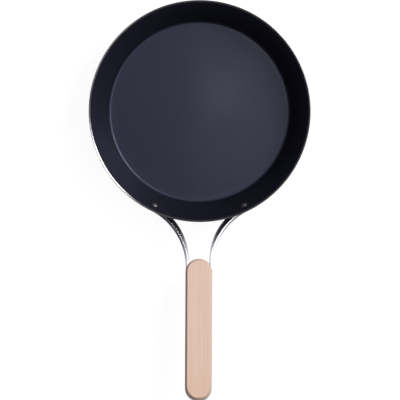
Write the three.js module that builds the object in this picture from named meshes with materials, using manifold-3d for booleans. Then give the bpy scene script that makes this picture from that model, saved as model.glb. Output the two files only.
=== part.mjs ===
// Iron frying pan: a pressed pan, two strap arms riveted to its wall and a wooden grip clamped between the arms.
// Lengths are in millimetres. +Z is up, the handle points to -Y and the origin is the centre of the underside.
import * as THREE from "three";
import { mergeVertices } from "three/addons/utils/BufferGeometryUtils.js";
import Module from "manifold-3d";

const wasm = await Module();
wasm.setup();

// Clearance between any two pieces that meet
const FIT_GAP = 0.3;

// Pan
const RIM_OUTER_RADIUS = 122.2; // at the rim's outer corner, before that corner is rounded
const BASE_OUTER_RADIUS = 101; // where the slope of the outer wall meets the underside
const PAN_HEIGHT = 46;
const SHEET = 2;
const BEND_INNER_RADIUS = 3.5;
const RIM_ROUND = 0.9;

// Strap arms
const STRAP_THICKNESS = 3;
const STRAP_HEIGHT = 13;
const STRAP_EDGE_CHAMFER = 0.4;
const STRAP_TIP_FLAT = 1; // straight stretch left between the two rounded corners of each end
const STRAP_TAIL = 18; // along the wall, from where the arm leaves it
const ARM_REACH = 167.8; // from the pan's centre to the start of the straight stretch along the grip
const HANDLE_RISE = THREE.MathUtils.degToRad(8);
const ARM_WALL_HEIGHT = 32.5; // on the outside of the wall, behind the middle of the strap

// Wall rivets
const RIVET_AHEAD = 1.5; // along the arm, past where it leaves the wall
const RIVET_SHANK_RADIUS = 2.25;
const RIVET_HEAD_RADIUS = 4;
const RIVET_INNER_HEAD_HEIGHT = 2;
const RIVET_OUTER_HEAD_HEIGHT = 1.6;

// Grip
const GRIP_WIDTH = 29.5;
const GRIP_LENGTH = 155.7;
const GRIP_THICKNESS = 20;
const GRIP_EDGE_ROUND = 2.4;
const GRIP_LEAD = 5; // how far the grip's near end stands ahead of the straight stretch of the arms
const GRIP_PAST_STRAPS = 34; // how far the grip's far end stands past the ends of the arms
const STRAP_SET_IN = 0.2; // how far the arms lie below the sides of the grip

// Cross fasteners of the grip
const FRONT_FASTENER_AT = 32; // along the straight stretch of the arms
const REAR_FASTENER_INSET = 20; // back from the ends of the arms
const SCREW_RADIUS = 2;
const SCREW_LENGTH = 17;
const SLEEVE_RADIUS = 3;
const SLEEVE_BORE_DEPTH = 15;
const FASTENER_HEAD_RADIUS = 4.5;
const FASTENER_HEAD_LAND = 0.3; // straight rim of the countersunk head
const SOCKET_RADIUS = 1.5; // to the corners of the hexagonal socket
const SOCKET_DEPTH = 1.4;

// Fineness of the facets
const PAN_SEGMENTS = 96;
const ROUND_SEGMENTS = 24;
const HEXAGON = 6;
const ARC_STEP = THREE.MathUtils.degToRad(18);
const STRAP_WALL_STEPS = 6;
const STRAP_ARC_STEPS = 24;
const STRAP_END_STEPS = 6;
const GRIP_CURVE_SEGMENTS = 14;
const GRIP_ROUND_SEGMENTS = 4;
const WELD_DISTANCE = 1e-3;
const CUT_MARGIN = 1; // how far a cutter stands proud of the face that it opens

// Sizes that follow from the ones above
const WALL_LEAN = Math.atan((RIM_OUTER_RADIUS - BASE_OUTER_RADIUS) / PAN_HEIGHT);
const WALL_TO_STRAP = FIT_GAP + STRAP_THICKNESS / 2;
const ARM_WALL_RADIUS = BASE_OUTER_RADIUS + ARM_WALL_HEIGHT * Math.tan(WALL_LEAN);
const STRAP_WALL_RADIUS = ARM_WALL_RADIUS + WALL_TO_STRAP * Math.cos(WALL_LEAN);
const STRAP_WALL_HEIGHT = ARM_WALL_HEIGHT - WALL_TO_STRAP * Math.sin(WALL_LEAN);
const STRAP_OFFSET = GRIP_WIDTH / 2 - STRAP_SET_IN - STRAP_THICKNESS / 2;
const STRAP_END_ROUND = (STRAP_HEIGHT - STRAP_TIP_FLAT) / 2;
const STRAP_GRIP_LENGTH = GRIP_LENGTH - GRIP_LEAD - GRIP_PAST_STRAPS;
const REAR_FASTENER_AT = STRAP_GRIP_LENGTH - REAR_FASTENER_INSET;

// The arm's bend is the circle that touches both the strap's circle round the wall and its line along the grip.
const ARM_BEND_RADIUS =
  (ARM_REACH ** 2 + STRAP_OFFSET ** 2 - STRAP_WALL_RADIUS ** 2) / (2 * (STRAP_WALL_RADIUS - STRAP_OFFSET));
const LEAVE_BEARING = Math.atan((STRAP_OFFSET + ARM_BEND_RADIUS) / ARM_REACH);
const ARM_BEND_LENGTH = ARM_BEND_RADIUS * (Math.PI / 2 - LEAVE_BEARING);
const GRIP_STRAP_HEIGHT = STRAP_WALL_HEIGHT + (ARM_BEND_LENGTH * Math.tan(HANDLE_RISE)) / 2;

// The grip's own frame: it lies level along -Y from the start of the straight stretch.
const GRIP_FRAME = new THREE.Matrix4()
  .makeRotationX(-HANDLE_RISE)
  .setPosition(0, -ARM_REACH, GRIP_STRAP_HEIGHT);

const UP = new THREE.Vector3(0, 0, 1);

// A closed surface as a solid that can be cut
function solidOf(geometry) {
  const bare = new THREE.BufferGeometry();
  bare.setAttribute("position", geometry.getAttribute("position"));
  bare.setIndex(geometry.getIndex());
  const welded = mergeVertices(bare, WELD_DISTANCE);
  const surface = new wasm.Mesh({
    numProp: 3,
    vertProperties: welded.getAttribute("position").array,
    triVerts: new Uint32Array(welded.getIndex().array),
  });
  return new wasm.Manifold(surface);
}

// A finished solid as a named mesh with its own material
function meshOf(name, solid, finish) {
  const surface = solid.getMesh();
  const indexed = new THREE.BufferGeometry();
  indexed.setAttribute("position", new THREE.BufferAttribute(surface.vertProperties, surface.numProp));
  indexed.setIndex(new THREE.BufferAttribute(surface.triVerts, 1));
  const geometry = indexed.toNonIndexed();
  geometry.computeVertexNormals();
  const mesh = new THREE.Mesh(geometry, new THREE.MeshStandardMaterial(finish));
  mesh.name = name;
  return mesh;
}

// A line through corners [x, y, radius], with an arc of that radius in place of each corner
function roundedLine(corners) {
  return corners.flatMap(([x, y, radius], i) => {
    const corner = new THREE.Vector2(x, y);
    if (!radius) return [corner];
    const back = new THREE.Vector2(...corners[i - 1]).sub(corner).normalize();
    const ahead = new THREE.Vector2(...corners[i + 1]).sub(corner).normalize();
    const half = Math.acos(back.dot(ahead)) / 2;
    const centre = back.clone().add(ahead).setLength(radius / Math.sin(half)).add(corner);
    const start = back.clone().multiplyScalar(radius / Math.tan(half)).add(corner);
    const turn = (Math.PI - 2 * half) * Math.sign(ahead.cross(back));
    const steps = Math.ceil(Math.abs(turn) / ARC_STEP);
    return Array.from({ length: steps + 1 }, (_, k) => start.clone().rotateAround(centre, (turn * k) / steps));
  });
}

// A solid of revolution: the profile's y runs along the axis from the origin
function turned(profile, segments, origin, axis) {
  const geometry = new THREE.LatheGeometry(profile, segments);
  geometry.applyQuaternion(new THREE.Quaternion().setFromUnitVectors(THREE.Object3D.DEFAULT_UP, axis));
  geometry.translate(origin.x, origin.y, origin.z);
  return solidOf(geometry);
}

// A straight round or many-sided bar along an axis
function bar(radius, from, to, segments, origin, axis) {
  const profile = [new THREE.Vector2(0, from), new THREE.Vector2(radius, from)];
  profile.push(new THREE.Vector2(radius, to), new THREE.Vector2(0, to));
  return turned(profile, segments, origin, axis);
}

// Points of a low dome from its rim to its top, standing at a height and rising by a signed amount
function dome(radius, height, rise) {
  const ball = (radius ** 2 + rise ** 2) / (2 * Math.abs(rise));
  const half = Math.asin(radius / ball);
  const steps = Math.ceil(half / ARC_STEP) + 1;
  return Array.from({ length: steps + 1 }, (_, k) => {
    const angle = half * (1 - k / steps);
    const lift = ball * (Math.cos(angle) - Math.cos(half));
    return new THREE.Vector2(ball * Math.sin(angle), height + Math.sign(rise) * lift);
  });
}

// A skin over rings of points, closed by a face at each end
function loft(rings) {
  const count = rings[0].length;
  const last = (rings.length - 1) * count;
  const index = [];
  for (let ring = 0; ring < last; ring += count) {
    for (let k = 0; k < count; k++) {
      const next = (k + 1) % count;
      index.push(ring + k, ring + next, ring + count + next);
      index.push(ring + k, ring + count + next, ring + count + k);
    }
  }
  for (let k = 1; k < count - 1; k++) {
    index.push(0, k + 1, k);
    index.push(last, last + k, last + k + 1);
  }
  const geometry = new THREE.BufferGeometry().setFromPoints(rings.flat());
  return geometry.setIndex(index);
}

// Where the right-hand strap is at a distance from where it leaves the wall, and the frame of its section there.
// It lies level on the wall, then bends away, climbs and untwists from the wall's lean until it stands upright.
function strapStation(distance) {
  const share = THREE.MathUtils.clamp(distance / ARM_BEND_LENGTH, 0, 1);
  const onWall = Math.min(distance, 0) / STRAP_WALL_RADIUS;
  const bearing = LEAVE_BEARING - onWall + share * (Math.PI / 2 - LEAVE_BEARING);
  const lean = WALL_LEAN * (1 - share ** 2);
  const slope = Math.atan(share * Math.tan(HANDLE_RISE));
  const outward = new THREE.Vector3(Math.sin(bearing), -Math.cos(bearing), 0);
  const heading = new THREE.Vector3(-Math.cos(bearing), -Math.sin(bearing), 0);
  const along = heading.multiplyScalar(Math.cos(slope)).addScaledVector(UP, Math.sin(slope));
  const leaned = outward.clone().multiplyScalar(Math.sin(lean)).addScaledVector(UP, Math.cos(lean));
  const across = new THREE.Vector3().crossVectors(leaned, along).normalize();
  const tall = new THREE.Vector3().crossVectors(along, across);
  const centre = new THREE.Vector3(STRAP_OFFSET + ARM_BEND_RADIUS, -ARM_REACH, GRIP_STRAP_HEIGHT);
  if (distance <= 0) {
    centre.copy(outward).multiplyScalar(STRAP_WALL_RADIUS).setZ(STRAP_WALL_HEIGHT);
  } else {
    centre.addScaledVector(outward, -ARM_BEND_RADIUS);
    centre.z -= ((1 - share ** 2) * ARM_BEND_LENGTH * Math.tan(HANDLE_RISE)) / 2;
    centre.addScaledVector(along, Math.max(distance - ARM_BEND_LENGTH, 0));
  }
  return { centre, along, across, tall };
}

// Distances at which the strap's section is drawn, with its half height there
function strapStations() {
  const stretch = (from, to, steps) => Array.from({ length: steps }, (_, k) => from + ((to - from) * k) / steps);
  const end = ARM_BEND_LENGTH + STRAP_GRIP_LENGTH;
  const tips = stretch(0, Math.PI / 2, STRAP_END_STEPS).map((angle) => STRAP_END_ROUND * (1 - Math.cos(angle)));
  const distances = [
    ...tips.map((tip) => tip - STRAP_TAIL),
    ...stretch(STRAP_END_ROUND - STRAP_TAIL, 0, STRAP_WALL_STEPS),
    ...stretch(0, ARM_BEND_LENGTH, STRAP_ARC_STEPS),
    ARM_BEND_LENGTH,
    end - STRAP_END_ROUND,
    ...tips.map((tip) => end - tip).reverse(),
  ];
  return distances.map((distance) => {
    const fromTip = Math.min(distance + STRAP_TAIL, end - distance, STRAP_END_ROUND);
    const rounding = Math.sqrt(STRAP_END_ROUND ** 2 - (STRAP_END_ROUND - fromTip) ** 2);
    return { ...strapStation(distance), halfHeight: STRAP_TIP_FLAT / 2 + rounding };
  });
}

// The strap's section at one station: an upright rectangle with its four edges eased
function strapSection({ centre, across, tall, halfHeight }) {
  const wide = STRAP_THICKNESS / 2;
  const quarter = [
    [wide, halfHeight - STRAP_EDGE_CHAMFER],
    [wide - STRAP_EDGE_CHAMFER, halfHeight],
  ];
  const turns = [quarter, quarter.map(([x, y]) => [-x, y]).reverse()];
  const upper = turns.flat();
  const outline = [...upper, ...upper.map(([x, y]) => [-x, -y])];
  return outline.map(([x, y]) => centre.clone().addScaledVector(across, x).addScaledVector(tall, y));
}

// A cross fastener is drawn from its flush outer face inwards; a grown one, standing proud, cuts its seat
function countersunk(at, side, shankRadius, length, grow = 0, proud = 0) {
  const face = new THREE.Vector3(side * (STRAP_OFFSET + STRAP_THICKNESS / 2), -at, 0).applyMatrix4(GRIP_FRAME);
  const shank = shankRadius + grow;
  const head = FASTENER_HEAD_RADIUS + grow;
  const profile = [
    new THREE.Vector2(0, -length),
    new THREE.Vector2(shank, -length),
    new THREE.Vector2(shank, -FASTENER_HEAD_LAND - head + shank),
    new THREE.Vector2(head, -FASTENER_HEAD_LAND),
    new THREE.Vector2(head, proud),
    new THREE.Vector2(0, proud),
  ];
  const axis = new THREE.Vector3(side, 0, 0);
  const solid = turned(profile, ROUND_SEGMENTS, face, axis);
  const socket = bar(SOCKET_RADIUS, -SOCKET_DEPTH, CUT_MARGIN, HEXAGON, face, axis);
  return grow ? solid : solid.subtract(socket);
}

function rivetHole(side) {
  const { centre, across } = strapStation(RIVET_AHEAD);
  const reach = WALL_TO_STRAP + SHEET + CUT_MARGIN;
  const hole = bar(RIVET_SHANK_RADIUS + FIT_GAP, -reach, reach, ROUND_SEGMENTS, centre, across);
  return side > 0 ? hole : hole.mirror([1, 0, 0]);
}

function panBody() {
  const rimWidth = SHEET / Math.cos(WALL_LEAN);
  const innerCorner = BASE_OUTER_RADIUS + SHEET * Math.tan(WALL_LEAN) - rimWidth;
  const profile = roundedLine([
    [0, 0],
    [BASE_OUTER_RADIUS, 0, BEND_INNER_RADIUS + SHEET],
    [RIM_OUTER_RADIUS, PAN_HEIGHT, RIM_ROUND],
    [RIM_OUTER_RADIUS - rimWidth, PAN_HEIGHT, RIM_ROUND],
    [innerCorner, SHEET, BEND_INNER_RADIUS],
    [0, SHEET],
  ]);
  const pressed = turned(profile, PAN_SEGMENTS, new THREE.Vector3(), UP);
  return pressed.subtract(rivetHole(1)).subtract(rivetHole(-1));
}

function handleArm(side, shankRadius) {
  const right = solidOf(loft(strapStations().map(strapSection)));
  const strap = side > 0 ? right : right.mirror([1, 0, 0]);
  const seats = [FRONT_FASTENER_AT, REAR_FASTENER_AT].map((at) =>
    countersunk(at, side, shankRadius, STRAP_THICKNESS + CUT_MARGIN, FIT_GAP, CUT_MARGIN),
  );
  return [rivetHole(side), ...seats].reduce((left, cutter) => left.subtract(cutter), strap);
}

function wallRivet(side) {
  const { centre, across } = strapStation(RIVET_AHEAD);
  const inside = -WALL_TO_STRAP - SHEET - FIT_GAP;
  const outside = STRAP_THICKNESS / 2 + FIT_GAP;
  const profile = [
    ...dome(RIVET_HEAD_RADIUS, inside, -RIVET_INNER_HEAD_HEIGHT).reverse(),
    new THREE.Vector2(RIVET_SHANK_RADIUS, inside),
    new THREE.Vector2(RIVET_SHANK_RADIUS, outside),
    ...dome(RIVET_HEAD_RADIUS, outside, RIVET_OUTER_HEAD_HEIGHT),
  ];
  const rivet = turned(profile, ROUND_SEGMENTS, centre, across);
  return side > 0 ? rivet : rivet.mirror([1, 0, 0]);
}

// The slab of the grip: straight sides, full-round ends and every edge rounded over
function gripBlank() {
  const radius = GRIP_WIDTH / 2;
  const near = GRIP_LEAD - radius;
  const far = GRIP_LEAD - GRIP_LENGTH + radius;
  const outline = new THREE.Shape();
  outline.absarc(0, near, radius - GRIP_EDGE_ROUND, 0, Math.PI);
  outline.absarc(0, far, radius - GRIP_EDGE_ROUND, Math.PI, 2 * Math.PI);
  const slab = new THREE.ExtrudeGeometry(outline, {
    depth: GRIP_THICKNESS - 2 * GRIP_EDGE_ROUND,
    curveSegments: GRIP_CURVE_SEGMENTS,
    bevelSize: GRIP_EDGE_ROUND,
    bevelThickness: GRIP_EDGE_ROUND,
    bevelSegments: GRIP_ROUND_SEGMENTS,
  });
  slab.translate(0, 0, GRIP_EDGE_ROUND - GRIP_THICKNESS / 2);
  return solidOf(slab.applyMatrix4(GRIP_FRAME));
}

// The stopped groove that takes one strap in the side of the grip, open at the near end
function strapGroove(side) {
  const open = GRIP_LEAD + CUT_MARGIN;
  const end = -STRAP_GRIP_LENGTH - FIT_GAP;
  const half = STRAP_HEIGHT / 2 + FIT_GAP;
  const round = STRAP_END_ROUND + FIT_GAP;
  const outline = roundedLine([
    [open, half],
    [end, half, round],
    [end, -half, round],
    [open, -half],
  ]);
  const depth = STRAP_SET_IN + STRAP_THICKNESS + FIT_GAP;
  const groove = new THREE.ExtrudeGeometry(new THREE.Shape(outline), {
    depth: depth + CUT_MARGIN,
    bevelEnabled: false,
  });
  const lengthwise = new THREE.Matrix4().makeBasis(
    new THREE.Vector3(0, 1, 0),
    new THREE.Vector3(0, 0, 1),
    new THREE.Vector3(1, 0, 0),
  );
  groove.applyMatrix4(lengthwise);
  groove.translate(GRIP_WIDTH / 2 - depth, 0, 0);
  const right = solidOf(groove.applyMatrix4(GRIP_FRAME));
  return side > 0 ? right : right.mirror([1, 0, 0]);
}

function fastenerHole(at) {
  const middle = new THREE.Vector3(0, -at, 0).applyMatrix4(GRIP_FRAME);
  const axis = new THREE.Vector3(1, 0, 0);
  return bar(SLEEVE_RADIUS + FIT_GAP, -GRIP_WIDTH, GRIP_WIDTH, ROUND_SEGMENTS, middle, axis);
}

function grip() {
  const cuts = [strapGroove(1), strapGroove(-1), fastenerHole(FRONT_FASTENER_AT), fastenerHole(REAR_FASTENER_AT)];
  return cuts.reduce((left, cutter) => left.subtract(cutter), gripBlank());
}

function gripScrew(at) {
  return countersunk(at, 1, SCREW_RADIUS, SCREW_LENGTH);
}

function gripSleeveNut(at) {
  const length = 2 * STRAP_OFFSET - FIT_GAP;
  const open = new THREE.Vector3(STRAP_OFFSET - STRAP_THICKNESS / 2 - FIT_GAP, -at, 0).applyMatrix4(GRIP_FRAME);
  const axis = new THREE.Vector3(1, 0, 0);
  const bore = bar(SCREW_RADIUS + FIT_GAP, -SLEEVE_BORE_DEPTH, CUT_MARGIN, ROUND_SEGMENTS, open, axis);
  return countersunk(at, -1, SLEEVE_RADIUS, length).subtract(bore);
}

const BLUED_IRON = { color: 0x2b2d36, roughness: 0.5, metalness: 0.6 };
const SATIN_STEEL = { color: 0xb9bbbd, roughness: 0.3, metalness: 1 };
const PALE_WOOD = { color: 0xd9b79f, roughness: 0.6, metalness: 0 };

const fryingPan = new THREE.Group();
fryingPan.name = "frying_pan";
fryingPan.add(
  meshOf("pan_body", panBody(), BLUED_IRON),
  meshOf("handle_arm_right", handleArm(1, SCREW_RADIUS), SATIN_STEEL),
  meshOf("handle_arm_left", handleArm(-1, SLEEVE_RADIUS), SATIN_STEEL),
  meshOf("wall_rivet_right", wallRivet(1), SATIN_STEEL),
  meshOf("wall_rivet_left", wallRivet(-1), SATIN_STEEL),
  meshOf("grip", grip(), PALE_WOOD),
  meshOf("grip_screw_front", gripScrew(FRONT_FASTENER_AT), SATIN_STEEL),
  meshOf("grip_screw_rear", gripScrew(REAR_FASTENER_AT), SATIN_STEEL),
  meshOf("grip_sleeve_nut_front", gripSleeveNut(FRONT_FASTENER_AT), SATIN_STEEL),
  meshOf("grip_sleeve_nut_rear", gripSleeveNut(REAR_FASTENER_AT), SATIN_STEEL),
);

export default fryingPan;
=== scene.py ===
# %% [markdown]
# # An iron frying pan
# A pan pressed from one sheet of iron carries two steel arms, and a wooden grip is clamped between them.
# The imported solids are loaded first. They say where every piece is, in metres, with the handle towards -Y.
# The visual pieces are built over them with finer curves, because a faceted solid shows its facets in
# every reflection. Only the small screws and nuts keep their solids.

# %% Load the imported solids
import math

import bmesh
import bpy
from mathutils import Matrix, Vector


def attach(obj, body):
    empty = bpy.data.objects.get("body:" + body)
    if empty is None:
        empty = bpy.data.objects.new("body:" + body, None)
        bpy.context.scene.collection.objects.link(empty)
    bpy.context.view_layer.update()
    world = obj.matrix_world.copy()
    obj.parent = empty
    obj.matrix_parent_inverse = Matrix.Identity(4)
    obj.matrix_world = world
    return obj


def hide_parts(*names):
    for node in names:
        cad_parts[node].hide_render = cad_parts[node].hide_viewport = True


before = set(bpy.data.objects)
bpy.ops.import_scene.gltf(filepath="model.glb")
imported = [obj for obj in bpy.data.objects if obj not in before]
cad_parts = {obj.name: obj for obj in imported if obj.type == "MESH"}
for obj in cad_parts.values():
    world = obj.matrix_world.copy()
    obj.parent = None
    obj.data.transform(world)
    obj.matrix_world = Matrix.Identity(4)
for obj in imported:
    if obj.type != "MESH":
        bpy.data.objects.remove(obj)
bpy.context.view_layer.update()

MM = 0.001

# %% [markdown]
# ## Camera
# The photograph looks straight down from so far away that the wall leans the same way all round.
# A long lens on a high camera gives that view. An orthographic camera would too, but the other views
# move this camera round the object, and they need a lens. The picture is turned by a fraction of a
# degree, which the camera copies.

# %% Camera
RIM_LEVEL = 46 * MM
CAMERA_HEIGHT = 6.3
FARTHEST_SEEN = 63  # low views look far across the floor
PICTURE_WIDTH = 438.3 * MM  # what the picture spans at the level of the rim
VIEW_CENTRE = (0.82 * MM, -97.45 * MM)
VIEW_TURN = math.radians(0.27)

camera_data = bpy.data.cameras.new("camera")
camera_data.lens = camera_data.sensor_width * (CAMERA_HEIGHT - RIM_LEVEL) / PICTURE_WIDTH
camera_data.clip_end = FARTHEST_SEEN
camera = bpy.data.objects.new("camera", camera_data)
camera.location = (*VIEW_CENTRE, CAMERA_HEIGHT)
camera.rotation_euler = (0, 0, VIEW_TURN)
bpy.context.collection.objects.link(camera)
bpy.context.scene.camera = camera
print("lens:", round(camera_data.lens), "mm")

# %% [markdown]
# ## From a mesh to a piece
# Every piece ends the same way. Doubled vertices are merged, the faces are turned outwards, and edges
# sharper than an angle stay sharp while the rest shade smoothly. Then the piece stands for its solid.

# %% Finish a piece
SHARP_ANGLE = math.radians(32)
WELD = 1e-6


def tidy_mesh(shape, name):
    bmesh.ops.remove_doubles(shape, verts=shape.verts, dist=WELD)
    bmesh.ops.recalc_face_normals(shape, faces=shape.faces)
    for face in shape.faces:
        face.smooth = True
    for edge in shape.edges:
        edge.smooth = edge.calc_face_angle(0) < SHARP_ANGLE
    mesh = bpy.data.meshes.new(name)
    shape.to_mesh(mesh)
    shape.free()
    return mesh


def add_piece(shape, name, node):
    piece = bpy.data.objects.new(name, tidy_mesh(shape, name))
    bpy.context.collection.objects.link(piece)
    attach(piece, "root")
    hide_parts(node)
    print(name, "faces:", len(piece.data.polygons))
    return piece


# %% [markdown]
# ## The pan
# The real pan is one disc of sheet iron pressed over a die: a flat base, a tight bend and a straight wall,
# with a rim that is cut level and ground to a bevel on its inside. The section could be subdivided from a
# disc, but drawing it as seven corners, rounding five of them with vertex bevels and spinning the line
# keeps every radius exact.

# %% The section of the pan
RIM_OUTER_RADIUS = 122.2 * MM
BASE_OUTER_RADIUS = 101 * MM
PAN_HEIGHT = RIM_LEVEL
SHEET = 2 * MM
BEND_INNER_RADIUS = 3.5 * MM
BEND_SEGMENTS = 14
RIM_ROUND = 0.5 * MM
RIM_ROUND_SEGMENTS = 6
RIM_TRIM = 0.24 * MM  # draws the outer corner in, so that its small round keeps the size of the solid
RIM_BEVEL = 1.1 * MM
RIM_BEVEL_TILT = math.radians(24)
BEVEL_EASE = 0.15 * MM
BEVEL_EASE_SEGMENTS = 2
TRUE_ROUND = 0.5  # the bevel profile that gives an arc of a circle
WALL_LEAN = math.atan((RIM_OUTER_RADIUS - BASE_OUTER_RADIUS) / PAN_HEIGHT)


def draw_line(shape, points):
    corners = [shape.verts.new((x, 0, z)) for x, z in points]
    for start, end in zip(corners, corners[1:]):
        shape.edges.new((start, end))
    return corners


def round_corner(shape, corner, radius, segments):
    ways = [edge.other_vert(corner).co - corner.co for edge in corner.link_edges]
    reach = radius / math.tan(ways[0].angle(ways[1]) / 2)
    bmesh.ops.bevel(shape, geom=[corner], offset=reach, segments=segments, profile=TRUE_ROUND,
                    affect="VERTICES", material=-1)


def pan_section():
    rim_width = SHEET / math.cos(WALL_LEAN)
    inner_corner = BASE_OUTER_RADIUS + SHEET * math.tan(WALL_LEAN) - rim_width
    rim_inner = RIM_OUTER_RADIUS - rim_width
    bevel_drop = RIM_BEVEL / (1 / math.tan(RIM_BEVEL_TILT) - math.tan(WALL_LEAN))
    shape = bmesh.new()
    corners = draw_line(shape, [
        (0, 0),
        (BASE_OUTER_RADIUS, 0),
        (RIM_OUTER_RADIUS - RIM_TRIM, PAN_HEIGHT),
        (rim_inner + RIM_BEVEL, PAN_HEIGHT),
        (rim_inner - bevel_drop * math.tan(WALL_LEAN), PAN_HEIGHT - bevel_drop),
        (inner_corner, SHEET),
        (0, SHEET),
    ])
    round_corner(shape, corners[1], BEND_INNER_RADIUS + SHEET, BEND_SEGMENTS)
    round_corner(shape, corners[2], RIM_ROUND, RIM_ROUND_SEGMENTS)
    round_corner(shape, corners[3], BEVEL_EASE, BEVEL_EASE_SEGMENTS)
    round_corner(shape, corners[4], BEVEL_EASE, BEVEL_EASE_SEGMENTS)
    round_corner(shape, corners[5], BEND_INNER_RADIUS, BEND_SEGMENTS)
    return shape


print("wall leans out by", round(math.degrees(WALL_LEAN), 1), "degrees")

# %% [markdown]
# Long straight stretches are split before the spin. Smooth shading blends the direction of neighbouring
# faces, and short faces beside the bend keep that blend from creeping across the flat base. The faces at
# the very top take the second material, the ground rim.

# %% Spin the pan
PAN_STEPS = 240
LONGEST_STEP = 9 * MM
RIM_BAND = 0.75 * MM


def spin_round(shape, steps):
    bmesh.ops.spin(shape, geom=shape.verts[:] + shape.edges[:], cent=(0, 0, 0), axis=(0, 0, 1),
                   angle=math.tau, steps=steps, use_merge=True, use_duplicate=False)


def make_pan():
    shape = pan_section()
    for edge in [edge for edge in shape.edges if edge.calc_length() > LONGEST_STEP]:
        cuts = int(edge.calc_length() / LONGEST_STEP)
        bmesh.ops.subdivide_edges(shape, edges=[edge], cuts=cuts)
    spin_round(shape, PAN_STEPS)
    for face in shape.faces:
        face.material_index = int(face.calc_center_median().z > PAN_HEIGHT - RIM_BAND)
    return add_piece(shape, "pan", "pan_body")


pan = make_pan()

# %% [markdown]
# ## The path of an arm
# Each arm is a flat steel bar standing on edge. It lies level on the leaning wall, bends away in one arc,
# climbs to the slope of the handle and untwists until it stands upright beside the grip. A curve with a
# tilt could carry a section along that path, but a small function that gives the bar's frame at any
# distance also places the rivets, the screw seats and the lines of the brushed finish.

# %% The frame of the bar at any distance from where it leaves the wall
FIT_GAP = 0.3 * MM
STRAP_THICKNESS = 3 * MM
STRAP_HEIGHT = 13 * MM
STRAP_TIP_FLAT = 1 * MM
STRAP_TAIL = 18 * MM
ARM_REACH = 167.8 * MM
HANDLE_RISE = math.radians(8)
ARM_WALL_HEIGHT = 32.5 * MM
GRIP_WIDTH = 29.5 * MM
GRIP_LENGTH = 155.7 * MM
GRIP_LEAD = 5 * MM
GRIP_PAST_STRAPS = 34 * MM
STRAP_SET_IN = 0.2 * MM

WALL_TO_STRAP = FIT_GAP + STRAP_THICKNESS / 2
STRAP_WALL_RADIUS = (BASE_OUTER_RADIUS + ARM_WALL_HEIGHT * math.tan(WALL_LEAN)
                     + WALL_TO_STRAP * math.cos(WALL_LEAN))
STRAP_WALL_HEIGHT = ARM_WALL_HEIGHT - WALL_TO_STRAP * math.sin(WALL_LEAN)
STRAP_OFFSET = GRIP_WIDTH / 2 - STRAP_SET_IN - STRAP_THICKNESS / 2
STRAP_END_ROUND = (STRAP_HEIGHT - STRAP_TIP_FLAT) / 2
STRAP_GRIP_LENGTH = GRIP_LENGTH - GRIP_LEAD - GRIP_PAST_STRAPS
ARM_BEND_RADIUS = ((ARM_REACH ** 2 + STRAP_OFFSET ** 2 - STRAP_WALL_RADIUS ** 2)
                   / (2 * (STRAP_WALL_RADIUS - STRAP_OFFSET)))
LEAVE_BEARING = math.atan((STRAP_OFFSET + ARM_BEND_RADIUS) / ARM_REACH)
ARM_BEND_LENGTH = ARM_BEND_RADIUS * (math.pi / 2 - LEAVE_BEARING)
ARM_CLIMB = ARM_BEND_LENGTH * math.tan(HANDLE_RISE) / 2
GRIP_STRAP_HEIGHT = STRAP_WALL_HEIGHT + ARM_CLIMB
BEND_CENTRE = Vector((STRAP_OFFSET + ARM_BEND_RADIUS, -ARM_REACH, GRIP_STRAP_HEIGHT))
GRIP_FRAME = (Matrix.Translation((0, -ARM_REACH, GRIP_STRAP_HEIGHT))
              @ Matrix.Rotation(-HANDLE_RISE, 4, "X"))
UP = Vector((0, 0, 1))


def bar_frame(distance):
    """The frame of the right-hand bar: X up its height, Y along it, Z out through its thickness."""
    share = min(max(distance / ARM_BEND_LENGTH, 0), 1)
    bearing = LEAVE_BEARING + share * (math.pi / 2 - LEAVE_BEARING)
    bearing -= min(distance, 0) / STRAP_WALL_RADIUS
    lean = WALL_LEAN * (1 - share ** 2)
    slope = math.atan(share * math.tan(HANDLE_RISE))
    outward = Vector((math.sin(bearing), -math.cos(bearing), 0))
    heading = Vector((-math.cos(bearing), -math.sin(bearing), 0))
    along = heading * math.cos(slope) + UP * math.sin(slope)
    across = (outward * math.sin(lean) + UP * math.cos(lean)).cross(along).normalized()
    tall = along.cross(across)
    if distance <= 0:
        centre = outward * STRAP_WALL_RADIUS + UP * STRAP_WALL_HEIGHT
    else:
        centre = BEND_CENTRE - outward * ARM_BEND_RADIUS - UP * ARM_CLIMB * (1 - share ** 2)
        centre += along * max(distance - ARM_BEND_LENGTH, 0)
    return Matrix.Translation(centre) @ Matrix((tall, along, across)).transposed().to_4x4()


print("arm bend radius:", round(ARM_BEND_RADIUS / MM, 1), "mm")
print("arm leaves the wall at", round(math.degrees(LEAVE_BEARING), 1), "degrees")

# %% [markdown]
# ## Cutting one mesh with another
# Routed grooves and countersunk seats are cuts, so they are made as cuts: a Boolean modifier takes each
# cutter away and its result becomes the new mesh. The cutters are thrown away afterwards.

# %% Cut a shape
def cut_away(shape, cutters):
    body = bpy.data.objects.new("body", tidy_mesh(shape, "body"))
    bpy.context.collection.objects.link(body)
    tools = [bpy.data.objects.new("cutter", tidy_mesh(cutter, "cutter")) for cutter in cutters]
    for tool in tools:
        bpy.context.collection.objects.link(tool)
        modifier = body.modifiers.new("cut", "BOOLEAN")
        modifier.object = tool
        modifier.solver = "EXACT"
    cut = bpy.data.meshes.new_from_object(body.evaluated_get(bpy.context.evaluated_depsgraph_get()))
    result = bmesh.new()
    result.from_mesh(cut)
    for thing in [body, *tools]:
        bpy.data.meshes.remove(thing.data)
    bpy.data.meshes.remove(cut)
    return result


# %% [markdown]
# The screws and sleeve nuts have countersunk heads that end flush with the bar. Their seat is a short
# profile spun round the fastener's axis.

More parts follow.
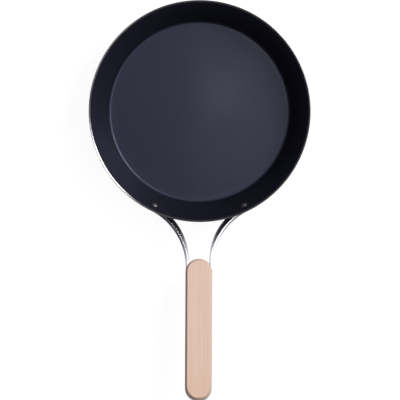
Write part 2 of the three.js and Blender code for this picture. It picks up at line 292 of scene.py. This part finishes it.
# %% Countersunk seats in the bar
FRONT_FASTENER_AT = 32 * MM
REAR_FASTENER_FROM_TIP = 20 * MM
REAR_FASTENER_AT = STRAP_GRIP_LENGTH - REAR_FASTENER_FROM_TIP
FASTENER_HEAD_RADIUS = 4.5 * MM
FASTENER_HEAD_LAND = 0.3 * MM
SCREW_RADIUS = 2 * MM
SLEEVE_RADIUS = 3 * MM
SEAT_GAP = 0.12 * MM
CUT_MARGIN = 1 * MM
SEAT_STEPS = 64


def seat_cutter(at, shank_radius):
    shank = shank_radius + SEAT_GAP
    head = FASTENER_HEAD_RADIUS + SEAT_GAP
    face = STRAP_THICKNESS / 2
    cone_end = face - FASTENER_HEAD_LAND - (head - shank)
    shape = bmesh.new()
    draw_line(shape, [
        (0, -face - CUT_MARGIN),
        (shank, -face - CUT_MARGIN),
        (shank, cone_end),
        (head, face - FASTENER_HEAD_LAND),
        (head, face + CUT_MARGIN),
        (0, face + CUT_MARGIN),
    ])
    spin_round(shape, SEAT_STEPS)
    bmesh.ops.transform(shape, matrix=bar_frame(ARM_BEND_LENGTH + at), verts=shape.verts)
    return shape


# %% [markdown]
# ## The arms
# A single rectangular face is extruded from station to station, and each new end is carried to the bar's
# next frame. An extrusion leaves the face that it started from inside the bar, so those are deleted.
# Bevels then round the two ends and ease all the long edges, as tumbling does on the real bar.

# %% Extrude the bar along its path
END_STRETCH = 7 * MM
WALL_STATIONS = 6
BEND_STATIONS = 48


def bar_stations():
    far = ARM_BEND_LENGTH + STRAP_GRIP_LENGTH
    tail = END_STRETCH - STRAP_TAIL
    on_wall = [tail * (1 - k / WALL_STATIONS) for k in range(WALL_STATIONS)]
    on_bend = [ARM_BEND_LENGTH * k / BEND_STATIONS for k in range(BEND_STATIONS + 1)]
    return [-STRAP_TAIL, *on_wall, *on_bend, far - END_STRETCH, far]


def extrude_bar():
    frames = [bar_frame(distance) for distance in bar_stations()]
    section_size = Matrix.Diagonal((STRAP_HEIGHT / 2, STRAP_THICKNESS / 2, 1, 1))
    upright = Matrix.Rotation(math.pi / 2, 4, "X") @ section_size
    shape = bmesh.new()
    bmesh.ops.create_grid(shape, x_segments=1, y_segments=1, size=1, matrix=frames[0] @ upright)
    end = shape.faces[:][0]
    passed = []
    for before, after in zip(frames, frames[1:]):
        made = bmesh.ops.extrude_face_region(shape, geom=[end])["geom"]
        moved = [part for part in made if isinstance(part, bmesh.types.BMVert)]
        passed.append(end)
        end = next(part for part in made if isinstance(part, bmesh.types.BMFace))
        bmesh.ops.transform(shape, matrix=after @ before.inverted(), verts=moved)
    bmesh.ops.delete(shape, geom=passed[1:], context="FACES_ONLY")
    return shape


# %% [markdown]
# Both bevels pick their edges by shape. Only at the corners of the two ends are edges both sharp and as long
# as the bar is thick, so these are rounded first. After that, every edge that is still sharp is eased.

# %% Round the ends and ease the edges
BAR_END_SEGMENTS = 10
CORNER_ANGLE = math.radians(60)


def round_bar_ends(shape):
    short = [edge for edge in shape.edges if abs(edge.calc_length() - STRAP_THICKNESS) < WELD]
    tips = [edge for edge in short if edge.calc_face_angle(0) > CORNER_ANGLE]
    bmesh.ops.bevel(shape, geom=tips, offset=STRAP_END_ROUND, segments=BAR_END_SEGMENTS,
                    profile=TRUE_ROUND, affect="EDGES", material=-1)


def ease_edges(shape, radius, segments, profile):
    bmesh.ops.recalc_face_normals(shape, faces=shape.faces)
    corners = [edge for edge in shape.edges if edge.calc_face_angle(0) > CORNER_ANGLE]
    bmesh.ops.bevel(shape, geom=corners, offset=radius, segments=segments, profile=profile,
                    affect="EDGES", material=-1)


# %% [markdown]
# The brushed finish runs along the bar and round its bend. Each vertex therefore stores how far along the
# bar it is, how high and how deep, and the steel reads that attribute in place of object coordinates.

# %% Store the place along the bar
def bar_place(point):
    """Distance along the right-hand bar, height on it and depth in it, of a point on its surface."""
    along_grip = -(GRIP_FRAME.inverted() @ point).y
    from_centre = point - BEND_CENTRE
    bearing = math.atan2(-from_centre.x, from_centre.y)
    if along_grip > 0:
        distance = ARM_BEND_LENGTH + along_grip
    elif bearing > LEAVE_BEARING:
        distance = (bearing - LEAVE_BEARING) * ARM_BEND_RADIUS
    else:
        distance = (LEAVE_BEARING - math.atan2(point.x, -point.y)) * STRAP_WALL_RADIUS
    local = bar_frame(distance).inverted() @ point
    return distance, local.x, local.z


def store_bar_place(piece, side):
    places = [bar_place(Vector((side * v.co.x, v.co.y, v.co.z))) for v in piece.data.vertices]
    attribute = piece.data.attributes.new("bar_place", "FLOAT_VECTOR", "POINT")
    attribute.data.foreach_set("vector", [number for place in places for number in place])


# %% [markdown]
# The left arm is the right one mirrored, with wider seats, because sleeve nuts sit in it and screws in the
# other. Mirroring turns a mesh inside out, which the last step of every piece puts right.

# %% Both arms
BAR_EDGE_ROUND = 0.2 * MM
BAR_EDGE_SEGMENTS = 3
MIRROR_X = Matrix.Scale(-1, 4, (1, 0, 0))


def make_arm(name, node, side, shank_radius):
    shape = extrude_bar()
    bmesh.ops.recalc_face_normals(shape, faces=shape.faces)
    round_bar_ends(shape)
    ease_edges(shape, BAR_EDGE_ROUND, BAR_EDGE_SEGMENTS, TRUE_ROUND)
    seats = [seat_cutter(at, shank_radius) for at in (FRONT_FASTENER_AT, REAR_FASTENER_AT)]
    shape = cut_away(shape, seats)
    if side < 0:
        bmesh.ops.transform(shape, matrix=MIRROR_X, verts=shape.verts)
    piece = add_piece(shape, name, node)
    store_bar_place(piece, side)
    return piece


arms = [
    make_arm("arm_right", "handle_arm_right", 1, SCREW_RADIUS),
    make_arm("arm_left", "handle_arm_left", -1, SLEEVE_RADIUS),
]

# %% [markdown]
# ## The wall rivets
# A rivet has a made head inside the pan and a head formed by hammering outside the arm. Both are low
# domes. A dome's outline is an arc, and spinning a single vertex about the ball's centre draws one.
# A second spin, about the rivet's own axis, turns the outline into the solid.

# %% Rivets
RIVET_AHEAD = 1.5 * MM
RIVET_SHANK_RADIUS = 2.25 * MM
RIVET_HEAD_RADIUS = 4 * MM
RIVET_INNER_HEAD_HEIGHT = 2 * MM
RIVET_OUTER_HEAD_HEIGHT = 1.6 * MM
DOME_STEPS = 12
RIVET_STEPS = 64


def draw_dome(shape, rim, rise):
    ball = (RIVET_HEAD_RADIUS ** 2 + rise ** 2) / (2 * abs(rise))
    centre = (0, 0, rim.co.z + rise - math.copysign(ball, rise))
    turn = math.copysign(math.asin(RIVET_HEAD_RADIUS / ball), rise)
    bmesh.ops.spin(shape, geom=[rim], cent=centre, axis=(0, -1, 0), angle=turn, steps=DOME_STEPS)


def make_rivet(name, node, side):
    inside = -WALL_TO_STRAP - SHEET - FIT_GAP
    outside = STRAP_THICKNESS / 2 + FIT_GAP
    shape = bmesh.new()
    outline = draw_line(shape, [
        (RIVET_HEAD_RADIUS, inside),
        (RIVET_SHANK_RADIUS, inside),
        (RIVET_SHANK_RADIUS, outside),
        (RIVET_HEAD_RADIUS, outside),
    ])
    draw_dome(shape, outline[0], -RIVET_INNER_HEAD_HEIGHT)
    draw_dome(shape, outline[-1], RIVET_OUTER_HEAD_HEIGHT)
    spin_round(shape, RIVET_STEPS)
    bmesh.ops.transform(shape, matrix=bar_frame(RIVET_AHEAD), verts=shape.verts)
    if side < 0:
        bmesh.ops.transform(shape, matrix=MIRROR_X, verts=shape.verts)
    return add_piece(shape, name, node)


rivets = [
    make_rivet("rivet_right", "wall_rivet_right", 1),
    make_rivet("rivet_left", "wall_rivet_left", -1),
]

# %% [markdown]
# ## The grip
# The grip is one slab of pale wood with full-round ends. A disc whose two halves are pulled apart has
# exactly that outline, and extruding it gives the slab. Then a bevel takes its edges off. Its profile is
# lower than a true round's, because the real edge is closer to a flat with soft corners. A narrow inset
# keeps the shading of the edge off the flat faces.

# %% The slab
GRIP_THICKNESS = 20 * MM
GRIP_EDGE_ROUND = 2.4 * MM
GRIP_EDGE_SEGMENTS = 10
GRIP_EDGE_PROFILE = 0.27
GRIP_OUTLINE_STEPS = 128
FACE_SUPPORT = 0.6 * MM


def make_slab():
    radius = GRIP_WIDTH / 2
    half_step = Matrix.Rotation(math.pi / GRIP_OUTLINE_STEPS, 4, "Z")
    shape = bmesh.new()
    bmesh.ops.create_circle(shape, cap_ends=True, segments=GRIP_OUTLINE_STEPS, radius=radius,
                            matrix=half_step)
    near = [vert for vert in shape.verts if vert.co.y > 0]
    far = [vert for vert in shape.verts if vert.co.y < 0]
    bottom = -GRIP_THICKNESS / 2
    bmesh.ops.translate(shape, vec=(0, GRIP_LEAD - radius, bottom), verts=near)
    bmesh.ops.translate(shape, vec=(0, GRIP_LEAD - GRIP_LENGTH + radius, bottom), verts=far)
    made = bmesh.ops.extrude_face_region(shape, geom=shape.faces[:])["geom"]
    top = [part for part in made if isinstance(part, bmesh.types.BMVert)]
    bmesh.ops.translate(shape, vec=(0, 0, GRIP_THICKNESS), verts=top)
    ease_edges(shape, GRIP_EDGE_ROUND, GRIP_EDGE_SEGMENTS, GRIP_EDGE_PROFILE)
    flats = [face for face in shape.faces if len(face.verts) == GRIP_OUTLINE_STEPS]
    bmesh.ops.inset_region(shape, faces=flats, thickness=FACE_SUPPORT)
    return shape


# %% [markdown]
# A routed groove in each side takes an arm. The cutter is a block whose stopped end is rounded like the
# end of the bar, and it runs out past the near end of the grip.

# %% The grooves
GROOVE_GAP = 0.12 * MM
GROOVE_END_SEGMENTS = 12


def groove_cutter(side):
    depth = STRAP_SET_IN + STRAP_THICKNESS + GROOVE_GAP
    length = GRIP_LEAD + CUT_MARGIN + STRAP_GRIP_LENGTH + GROOVE_GAP
    height = STRAP_HEIGHT + 2 * GROOVE_GAP
    middle = Vector((side * (GRIP_WIDTH / 2 + CUT_MARGIN - (depth + CUT_MARGIN) / 2),
                     GRIP_LEAD + CUT_MARGIN - length / 2, 0))
    size = Matrix.Diagonal((depth + CUT_MARGIN, length, height, 1))
    shape = bmesh.new()
    bmesh.ops.create_cube(shape, size=1, matrix=Matrix.Translation(middle) @ size)
    at_stop = [edge for edge in shape.edges if all(vert.co.y < middle.y for vert in edge.verts)]
    stop = [edge for edge in at_stop if abs(edge.calc_length() - height) > WELD]
    bmesh.ops.bevel(shape, geom=stop, offset=STRAP_END_ROUND + GROOVE_GAP, segments=GROOVE_END_SEGMENTS,
                    profile=TRUE_ROUND, affect="EDGES", material=-1)
    return shape


def make_grip():
    shape = cut_away(make_slab(), [groove_cutter(1), groove_cutter(-1)])
    bmesh.ops.transform(shape, matrix=GRIP_FRAME, verts=shape.verts)
    return add_piece(shape, "wooden_grip", "grip")


grip = make_grip()

# %% [markdown]
# ## Building materials
# A helper adds a node, sets its plain values and links the rest, so that a finish reads like a recipe.
# Sockets are named by their label, or by their number where a node has several of the same name.

# %% Node helpers
def add_node(tree, kind, values=None, **settings):
    node = tree.nodes.new(kind)
    for name, setting in settings.items():
        setattr(node, name, setting)
    for name, value in (values or {}).items():
        if isinstance(value, bpy.types.NodeSocket):
            tree.links.new(value, node.inputs[name])
        else:
            node.inputs[name].default_value = value
    return node


def calculate(tree, operation, *values):
    return add_node(tree, "ShaderNodeMath", dict(enumerate(values)), operation=operation).outputs["Value"]


def ramp(tree, value, start, end, top=1.0, kind="SMOOTHSTEP"):
    limits = {"Value": value, "From Min": start, "From Max": end, "To Max": top}
    return add_node(tree, "ShaderNodeMapRange", limits, interpolation_type=kind).outputs["Result"]


def mix_colours(tree, share, first, second):
    ends = [part if isinstance(part, bpy.types.NodeSocket) else (*part, 1) for part in (first, second)]
    values = {"Factor": share, "A": ends[0], "B": ends[1]}
    return add_node(tree, "ShaderNodeMix", values, data_type="RGBA").outputs["Result"]


def add_bump(tree, height, depth):
    values = {"Height": height, "Distance": depth, "Strength": 1.0}
    return add_node(tree, "ShaderNodeBump", values).outputs["Normal"]


# %% [markdown]
# A material starts empty and ends with its output. The shader itself stays in the material, because the
# export can't read one inside a group.

# %% Start and finish a material
def new_material(name):
    material = bpy.data.materials.new(name)
    material.use_nodes = True
    material.node_tree.nodes.clear()
    return material, material.node_tree


def finish_material(material, shader):
    add_node(material.node_tree, "ShaderNodeOutputMaterial", {"Surface": shader})
    print("finish:", material.name, "nodes:", len(material.node_tree.nodes))
    return material


def object_place(tree):
    return add_node(tree, "ShaderNodeTexCoord").outputs["Object"]


# %% [markdown]
# Two effects are shared by the metal and the wood, so each is a node group. The first is a soft patchiness,
# as from handling and oil. The second is fine lines drawn out along one direction: brushing on steel,
# grain in wood and the rings that polishing leaves on the pan.

# %% Shared effects
FLOAT, VECTOR = "NodeSocketFloat", "NodeSocketVector"


def new_group(name, inputs):
    group = bpy.data.node_groups.new(name, "ShaderNodeTree")
    for socket, kind in inputs.items():
        group.interface.new_socket(socket, in_out="INPUT", socket_type=kind)
    group.interface.new_socket("Value", in_out="OUTPUT", socket_type=FLOAT)
    return group, group.nodes.new("NodeGroupInput").outputs


patches, given = new_group(
    "soft_patches", {"Vector": VECTOR, "Patches per metre": FLOAT, "Low": FLOAT, "High": FLOAT})
cloud = add_node(patches, "ShaderNodeTexNoise", {
    "Vector": given["Vector"], "Scale": given["Patches per metre"], "Detail": 4.0, "Roughness": 0.55})
spread = add_node(patches, "ShaderNodeMapRange", {
    "Value": cloud.outputs["Fac"], "From Min": 0.3, "From Max": 0.7,
    "To Min": given["Low"], "To Max": given["High"]})
add_node(patches, "NodeGroupOutput", {"Value": spread.outputs["Result"]})

lines, given = new_group("drawn_lines", {"Vector": VECTOR, "Across": FLOAT, "Along": FLOAT})
scale = add_node(lines, "ShaderNodeCombineXYZ", {
    "X": given["Across"], "Y": given["Along"], "Z": given["Across"]})
drawn = add_node(lines, "ShaderNodeVectorMath", {0: given["Vector"], 1: scale.outputs["Vector"]},
                 operation="MULTIPLY")
streaks = add_node(lines, "ShaderNodeTexNoise", {
    "Vector": drawn.outputs["Vector"], "Scale": 1.0, "Detail": 3.0, "Roughness": 0.6})
add_node(lines, "NodeGroupOutput", {"Value": streaks.outputs["Fac"]})


def soft_patches(tree, vector, per_metre, low, high):
    values = {"Vector": vector, "Patches per metre": per_metre, "Low": low, "High": high}
    return add_node(tree, "ShaderNodeGroup", values, node_tree=patches).outputs["Value"]


def drawn_lines(tree, vector, across, along):
    values = {"Vector": vector, "Across": across, "Along": along}
    return add_node(tree, "ShaderNodeGroup", values, node_tree=lines).outputs["Value"]


print("effects:", patches.name, lines.name)

# %% [markdown]
# ## Blued iron
# The sheet has a blue-black oxide skin, as dark as charcoal and with a satin gloss, under a thin film of
# oil. The film is a weak, smoother coat, which gives the glow on the base a clearer middle. Round the pan
# run faint rings from polishing, so the lines follow the distance from the pan's axis. A painted texture
# would need a map; the length of the flat part of the object coordinates gives that distance directly.

# %% Blued iron
OXIDE_DARK = (0.0038, 0.0036, 0.0072)
OXIDE_LIGHT = (0.0049, 0.0046, 0.0090)
OXIDE_GLOSS_TINT = (0.60, 0.635, 0.97, 1)
RING_DEPTH = 0.004 * MM


def ring_place(tree, place):
    parts = add_node(tree, "ShaderNodeSeparateXYZ", {"Vector": place}).outputs
    flat = add_node(tree, "ShaderNodeCombineXYZ", {"X": parts["X"], "Y": parts["Y"]}).outputs["Vector"]
    radius = add_node(tree, "ShaderNodeVectorMath", {0: flat}, operation="LENGTH").outputs["Value"]
    rings = {"X": radius, "Y": parts["X"], "Z": parts["Z"]}
    return add_node(tree, "ShaderNodeCombineXYZ", rings).outputs["Vector"]


def make_blued_iron():
    material, tree = new_material("blued_sheet")
    place = object_place(tree)
    rings = drawn_lines(tree, ring_place(tree, place), across=1400.0, along=6.0)
    tone = soft_patches(tree, place, per_metre=16.0, low=0.0, high=1.0)
    grit = add_node(tree, "ShaderNodeTexNoise", {"Vector": place, "Scale": 1800.0, "Detail": 2.0})
    texture = calculate(tree, "ADD", rings, grit.outputs["Fac"])
    shader = add_node(tree, "ShaderNodeBsdfPrincipled", {
        "Base Color": mix_colours(tree, tone, OXIDE_DARK, OXIDE_LIGHT),
        "Roughness": soft_patches(tree, place, per_metre=40.0, low=0.48, high=0.52),
        "Specular IOR Level": 0.64,
        "Specular Tint": OXIDE_GLOSS_TINT,
        "Coat Weight": 0.07,
        "Coat Roughness": 0.10,
        "Normal": add_bump(tree, texture, RING_DEPTH),
    })
    return finish_material(material, shader.outputs["BSDF"])


pan.data.materials.append(make_blued_iron())

# %% [markdown]
# ## The ground rim
# The rim is ground after pressing and darkens again in use. What is left of the grinding is a smoother,
# glossier bevel: dark from most sides, and a white arc where it mirrors the brightest lamp. So it is a dark
# base under a strong coat, where bare metal would be bright all round.

# %% Ground rim
GROUND_DARK = (0.026, 0.026, 0.030)
GROUND_LIGHT = (0.040, 0.040, 0.046)
GRINDING_DEPTH = 0.003 * MM


def make_ground_rim():
    material, tree = new_material("ground_rim")
    place = object_place(tree)
    grinding = drawn_lines(tree, ring_place(tree, place), across=5000.0, along=60.0)
    shader = add_node(tree, "ShaderNodeBsdfPrincipled", {
        "Base Color": mix_colours(tree, grinding, GROUND_DARK, GROUND_LIGHT),
        "Roughness": soft_patches(tree, place, per_metre=120.0, low=0.18, high=0.24),
        "Specular IOR Level": 0.95,
        "Coat Weight": 0.9,
        "Coat Roughness": 0.12,
        "Normal": add_bump(tree, grinding, GRINDING_DEPTH),
    })
    return finish_material(material, shader.outputs["BSDF"])


pan.data.materials.append(make_ground_rim())

# %% [markdown]
# ## Satin steel
# The arms are brushed lengthwise, the screws and nuts are plain satin, and the hammered rivets are darker
# and duller. All three use one recipe with their own values: the arms read the place stored along the bar,
# and the heads read object coordinates.

# %% Satin steel
SHADE_SPREAD = 0.12
ROUGHNESS_SPREAD = 0.2
BRUSH_DEPTH = 0.001 * MM


def make_satin_steel(name, place_of, across, along, shade, roughness):
    material, tree = new_material(name)
    place = place_of(tree)
    brushing = drawn_lines(tree, place, across, along)
    dark = tuple((1 - SHADE_SPREAD) * part for part in shade)
    light = tuple((1 + SHADE_SPREAD) * part for part in shade)
    smoothest = (1 - ROUGHNESS_SPREAD) * roughness
    roughest = (1 + ROUGHNESS_SPREAD) * roughness
    shader = add_node(tree, "ShaderNodeBsdfPrincipled", {
        "Base Color": mix_colours(tree, brushing, dark, light),
        "Metallic": 1.0,
        "Roughness": soft_patches(tree, place, per_metre=90.0, low=smoothest, high=roughest),
        "Normal": add_bump(tree, brushing, BRUSH_DEPTH),
    })
    return finish_material(material, shader.outputs["BSDF"])


def bar_coordinates(tree):
    stored = add_node(tree, "ShaderNodeAttribute", attribute_name="bar_place").outputs["Vector"]
    parts = add_node(tree, "ShaderNodeSeparateXYZ", {"Vector": stored}).outputs
    turned = {"X": parts["Y"], "Y": parts["X"], "Z": parts["Z"]}
    return add_node(tree, "ShaderNodeCombineXYZ", turned).outputs["Vector"]


# %% [markdown]
# Each piece gets its steel. The screws and nuts are the solids themselves, so the steel goes into the
# material slot that they already have.

# %% Dress the steel pieces
brushed_bar = make_satin_steel("brushed_bar", bar_coordinates, across=6000.0, along=40.0,
                               shade=(0.64, 0.65, 0.69), roughness=0.28)
satin_heads = make_satin_steel("satin_heads", object_place, across=2500.0, along=2500.0,
                               shade=(0.57, 0.58, 0.61), roughness=0.25)
hammered_heads = make_satin_steel("hammered_heads", object_place, across=2500.0, along=2500.0,
                                  shade=(0.13, 0.13, 0.14), roughness=0.56)
for arm in arms:
    arm.data.materials.append(brushed_bar)
for rivet in rivets:
    rivet.data.materials.append(hammered_heads)
for fastener in ("grip_screw_front", "grip_screw_rear", "grip_sleeve_nut_front", "grip_sleeve_nut_rear"):
    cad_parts[fastener].material_slots[0].material = satin_heads

# %% [markdown]
# ## Pale wood
# The grip is a pale pinkish hardwood with straight fine grain from end to end and tiny dark flecks. Its far
# end is a little warmer. Its sides and rounded edges get a painted shade, darker than the flat faces, for
# the edges that turn away from the lamps. A Mapping node lays the pattern along the sloping grip, and
# streaks of
# three sizes are mixed: broad bands, fine grain and flecks.

# %% Pale wood
WOOD_DARK_BAND = (0.660, 0.440, 0.340)
WOOD_LIGHT_BAND = (0.812, 0.602, 0.496)
WOOD_GRAIN = (0.767, 0.562, 0.460)
WOOD_FAR_END = (0.755, 0.490, 0.345)
# Painted shade: a darker tone for the sides and rounded edges of the grip, which turn away from the lamps.
WOOD_PAINTED_EDGE_SHADE = (0.59, 0.44, 0.345)
WOOD_FLECK = (0.56, 0.355, 0.265)
GRAIN_DEPTH = 0.02 * MM
WARM_FROM = -0.15 * GRIP_LENGTH
WARM_FULLY = -0.5 * GRIP_LENGTH
PAINTED_SHADE_FROM = GRIP_THICKNESS / 2 - 0.1 * MM
PAINTED_SHADE_FULLY = GRIP_THICKNESS / 2 - 0.7 * MM
GRIP_MIDDLE = GRIP_FRAME @ Vector((0, GRIP_LEAD - GRIP_LENGTH / 2, 0))


def grip_place(tree):
    values = {"Vector": object_place(tree), "Location": GRIP_MIDDLE, "Rotation": (-HANDLE_RISE, 0, 0)}
    return add_node(tree, "ShaderNodeMapping", values, vector_type="TEXTURE").outputs["Vector"]


def make_pale_wood():
    material, tree = new_material("straight_grained_wood")
    place = grip_place(tree)
    parts = add_node(tree, "ShaderNodeSeparateXYZ", {"Vector": place}).outputs
    bands = drawn_lines(tree, place, across=160.0, along=3.0)
    grain = drawn_lines(tree, place, across=620.0, along=5.0)
    specks = drawn_lines(tree, place, across=2600.0, along=420.0)
    from_middle = calculate(tree, "ABSOLUTE", parts["Z"])
    fine_lines = ramp(tree, grain, start=0.38, end=0.62, top=0.8, kind="LINEAR")
    flecks = ramp(tree, specks, start=0.62, end=0.72, top=0.7, kind="LINEAR")
    far_end = ramp(tree, parts["Y"], WARM_FROM, WARM_FULLY, top=0.55)
    # Painted shade: the sides and rounded edges are darkened in colour, while the flat top and bottom faces
    # are not.
    painted_edge_shade = ramp(tree, from_middle, PAINTED_SHADE_FROM, PAINTED_SHADE_FULLY, top=0.9)
    colour = mix_colours(tree, bands, WOOD_DARK_BAND, WOOD_LIGHT_BAND)
    for share, tone in ((fine_lines, WOOD_GRAIN), (far_end, WOOD_FAR_END),
                        (painted_edge_shade, WOOD_PAINTED_EDGE_SHADE), (flecks, WOOD_FLECK)):
        colour = mix_colours(tree, share, colour, tone)
    shader = add_node(tree, "ShaderNodeBsdfPrincipled", {
        "Base Color": colour,
        "Roughness": soft_patches(tree, place, per_metre=120.0, low=0.40, high=0.50),
        "Specular IOR Level": 0.5,
        "Normal": add_bump(tree, grain, GRAIN_DEPTH),
    })
    return finish_material(material, shader.outputs["BSDF"])


grip.data.materials.append(make_pale_wood())

# %% [markdown]
# ## Floor
# The floor is a plain sheet of pale paper, a hair below the pan. To the camera it is white. In mirrors it
# glows white beyond the pan, and the glow fades out towards the pan's axis: a painted shadow, dark below
# the pan, where little light gets in. The light that it throws back up at the pan is modest, and the pan's
# soft shadow stays on it. White paint and more lamps would give the same background, but they would wash out
# the dark iron.

# %% Floor
FLOOR_SIZE = 30
FLOOR_DROP = 0.2 * MM
# Painted shadow in mirrors: no glow inside the first radius, full glow again from the second.
PAINTED_SHADOW_CORE = 118 * MM
PAINTED_SHADOW_EDGE = 160 * MM
PAPER_WHITE = 0.95
PAPER_IN_MIRRORS = 0.70
PAPER_BOUNCE = (0.14, 0.14, 0.14)
PAPER_BOUNCE_IN_MIRRORS = (0.25, 0.25, 0.25)


def mirror_rays(tree, rays):
    return calculate(tree, "MAXIMUM", rays["Is Glossy Ray"], rays["Is Transmission Ray"])


def make_paper():
    material, tree = new_material("pale_floor")
    rays = add_node(tree, "ShaderNodeLightPath").outputs
    mirrored = mirror_rays(tree, rays)
    from_axis = add_node(tree, "ShaderNodeVectorMath", {0: object_place(tree)}, operation="LENGTH")
    # Painted shadow: the glow seen in mirrors fades out under the pan, by distance from its axis.
    mirror_glow_past_painted_shadow = ramp(tree, from_axis.outputs["Value"], PAINTED_SHADOW_CORE, PAINTED_SHADOW_EDGE, top=PAPER_IN_MIRRORS)
    to_camera = calculate(tree, "MULTIPLY", rays["Is Camera Ray"], PAPER_WHITE)
    lift = calculate(tree, "MULTIPLY_ADD", mirrored, mirror_glow_past_painted_shadow, to_camera)
    bounce = mix_colours(tree, mirrored, PAPER_BOUNCE, PAPER_BOUNCE_IN_MIRRORS)
    paper = add_node(tree, "ShaderNodeBsdfDiffuse", {"Color": bounce}).outputs["BSDF"]
    glow = add_node(tree, "ShaderNodeEmission", {"Strength": lift}).outputs["Emission"]
    both = add_node(tree, "ShaderNodeAddShader", {0: paper, 1: glow})
    return finish_material(material, both.outputs["Shader"])


def make_floor():
    shape = bmesh.new()
    bmesh.ops.create_grid(shape, x_segments=1, y_segments=1, size=FLOOR_SIZE / 2,
                          matrix=Matrix.Translation((0, 0, -FLOOR_DROP)))
    piece = bpy.data.objects.new("floor", tidy_mesh(shape, "floor"))
    bpy.context.collection.objects.link(piece)
    piece.data.materials.append(make_paper())


make_floor()

# %% [markdown]
# ## Light
# Six soft boxes light the pan at a plain level, at which the wood renders about as it is written. The key
# stands to the upper right. It lights the wall across the pan, where the ground bevel mirrors it as a white
# arc, and most of the wood. A smaller high key adds an even light to all. A sheet at the lower right gives
# the bend of the right arm its white line, and a weak panel gives the left arm a faint one. The box straight
# above is the broad glow on the base, and the small lamp is the soft spot right of its middle. A picture of
# a studio could light all this at once, but separate boxes can each be moved until their own reflection
# sits right.

# %% Lamps
PAN_CENTRE = (0, 0, 0)


def add_soft_box(name, place, aim, width, length, brightness):
    lamp = bpy.data.lights.new(name, "AREA")
    lamp.shape = "RECTANGLE"
    lamp.size = width
    lamp.size_y = length
    lamp.energy = brightness * math.pi * width * length
    turn = (Vector(aim) - Vector(place)).to_track_quat("-Z", "Y")
    holder = bpy.data.objects.new(name, lamp)
    holder.matrix_world = Matrix.Translation(place) @ turn.to_matrix().to_4x4()
    holder.visible_camera = False
    bpy.context.collection.objects.link(holder)
    print("lamp:", name, round(lamp.energy, 2), "W")


add_soft_box("key", (1.37, 0.89, 1.47), PAN_CENTRE, 0.95, 0.9, brightness=14.5)
add_soft_box("high_key", (0.70, 0.28, 1.20), PAN_CENTRE, 0.45, 0.60, brightness=6)
add_soft_box("right_sheet", (1.02, -0.64, 1.84), PAN_CENTRE, 1.0, 0.8, brightness=2.3)
add_soft_box("left_panel", (-0.42, 0.24, 1.2), PAN_CENTRE, 0.7, 0.7, brightness=0.45)
add_soft_box("top_box", (0.14, 0.12, 1.2), (0.14, 0.12, 0), 0.30, 0.40, brightness=2.8)
add_soft_box("top_lamp", (0.030, 0.041, 1.15), (0.030, 0.041, 0), 0.05, 0.05, brightness=7)

# %% [markdown]
# ## The room round it
# The world is dim, so that the iron stays dark. Near the horizon it turns white for the camera and in
# mirrors, like a paper backdrop that carries on from the floor, so low views have a white background too.

# %% World
STUDIO_DIM = (0.062, 0.060, 0.072)
BACKDROP_WHITE = (PAPER_WHITE, PAPER_WHITE, PAPER_WHITE)
BACKDROP_FULL = 0.10
BACKDROP_TOP = 0.20


def make_world():
    world = bpy.data.worlds.new("studio")
    world.use_nodes = True
    tree = world.node_tree
    rays = add_node(tree, "ShaderNodeLightPath").outputs
    seen = calculate(tree, "MAXIMUM", rays["Is Camera Ray"], mirror_rays(tree, rays))
    direction = add_node(tree, "ShaderNodeTexCoord").outputs["Generated"]
    height = add_node(tree, "ShaderNodeSeparateXYZ", {"Vector": direction}).outputs["Z"]
    backdrop = calculate(tree, "MULTIPLY", seen, ramp(tree, height, BACKDROP_TOP, BACKDROP_FULL))
    colour = mix_colours(tree, backdrop, STUDIO_DIM, BACKDROP_WHITE)
    tree.links.new(colour, tree.nodes["Background"].inputs["Color"])
    print("world nodes:", len(tree.nodes))
    return world


bpy.context.scene.world = make_world()
bpy.context.scene.view_settings.view_transform = "Standard"
